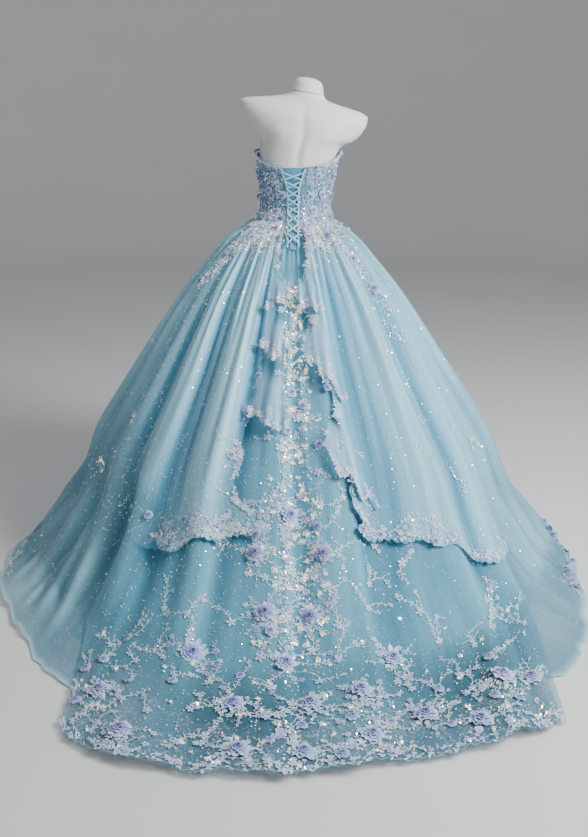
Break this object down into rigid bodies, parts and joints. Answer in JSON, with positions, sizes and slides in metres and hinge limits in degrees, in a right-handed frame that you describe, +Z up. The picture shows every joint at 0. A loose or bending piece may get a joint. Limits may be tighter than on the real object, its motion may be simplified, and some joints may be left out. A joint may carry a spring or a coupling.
{
  "type": "ballroom gown on a limbless dress form",
  "caption": "Strapless ballroom gown with a laced corset back, layered tulle skirt, cascading overlay and lace-edged train, standing on a limbless dress form.",
  "frame": {"origin": "middle of the underside of the dress form's round base plate, on the floor", "axes": "+Z up; -Y is the gown's front; +Y is its back, where the train runs out; +X is the wearer's left"},
  "size_m": [1.8392, 2.4782, 1.5314],
  "materials": {
    "form_shell": "smooth matte off-white shell",
    "stand_metal": "satin",
    "stand_plate": "matte off-white paint",
    "satin_lining": "pale ice-blue satin with a soft sheen",
    "glitter_tulle": "sheer ice-blue net with sparse glitter",
    "overlay_tulle": "sheer pale blue net",
    "beaded_lace": "silvery white and lilac embroidered net lace with beads",
    "bodice_lace": "pale blue satin under lilac and silver beaded lace",
    "blue_satin": "light blue satin ribbon",
    "cloth_rose": "lilac-blue organza petals"
  },
  "bodies": {
    "root": {"bodice_back_left": "bodice_lace", "bodice_back_right": "bodice_lace", "bodice_front": "bodice_lace", "bodice_side_left": "bodice_lace", "bodice_side_right": "bodice_lace", "cascade_left_lower": "overlay_tulle", "cascade_left_middle": "overlay_tulle", "cascade_left_upper": "overlay_tulle", "cascade_right_lower": "overlay_tulle", "cascade_right_middle": "overlay_tulle", "cascade_right_upper": "overlay_tulle", "form_neck_cap": "form_shell", "form_torso": "form_shell", "hip_lace_left": "beaded_lace", "hip_lace_right": "beaded_lace", "lacing_ribbon_a": "blue_satin", "lacing_ribbon_b": "blue_satin", "lining_back": "satin_lining", "lining_front": "satin_lining", "lining_left": "satin_lining", "lining_right": "satin_lining", "loop_tape_left": "blue_satin", "loop_tape_right": "blue_satin", "modesty_panel": "blue_satin", "overlay_lace_left": "beaded_lace", "overlay_lace_right": "beaded_lace", "overlay_left": "overlay_tulle", "overlay_right": "overlay_tulle", "rose_01": "cloth_rose", "rose_02": "cloth_rose", "rose_03": "cloth_rose", "rose_04": "cloth_rose", "rose_05": "cloth_rose", "rose_06": "cloth_rose", "rose_07": "cloth_rose", "rose_08": "cloth_rose", "rose_09": "cloth_rose", "rose_10": "cloth_rose", "rose_11": "cloth_rose", "rose_12": "cloth_rose", "rose_13": "cloth_rose", "rose_14": "cloth_rose", "rose_15": "cloth_rose", "rose_16": "cloth_rose", "rose_17": "cloth_rose", "rose_18": "cloth_rose", "rose_19": "cloth_rose", "rose_20": "cloth_rose", "stand_base": "stand_plate", "stand_pole": "stand_metal", "top_lace": "beaded_lace", "train_hem_lace": "beaded_lace", "train_panel": "glitter_tulle", "tulle_front": "glitter_tulle", "tulle_left": "glitter_tulle", "tulle_right": "glitter_tulle"}
  },
  "joints": []
}
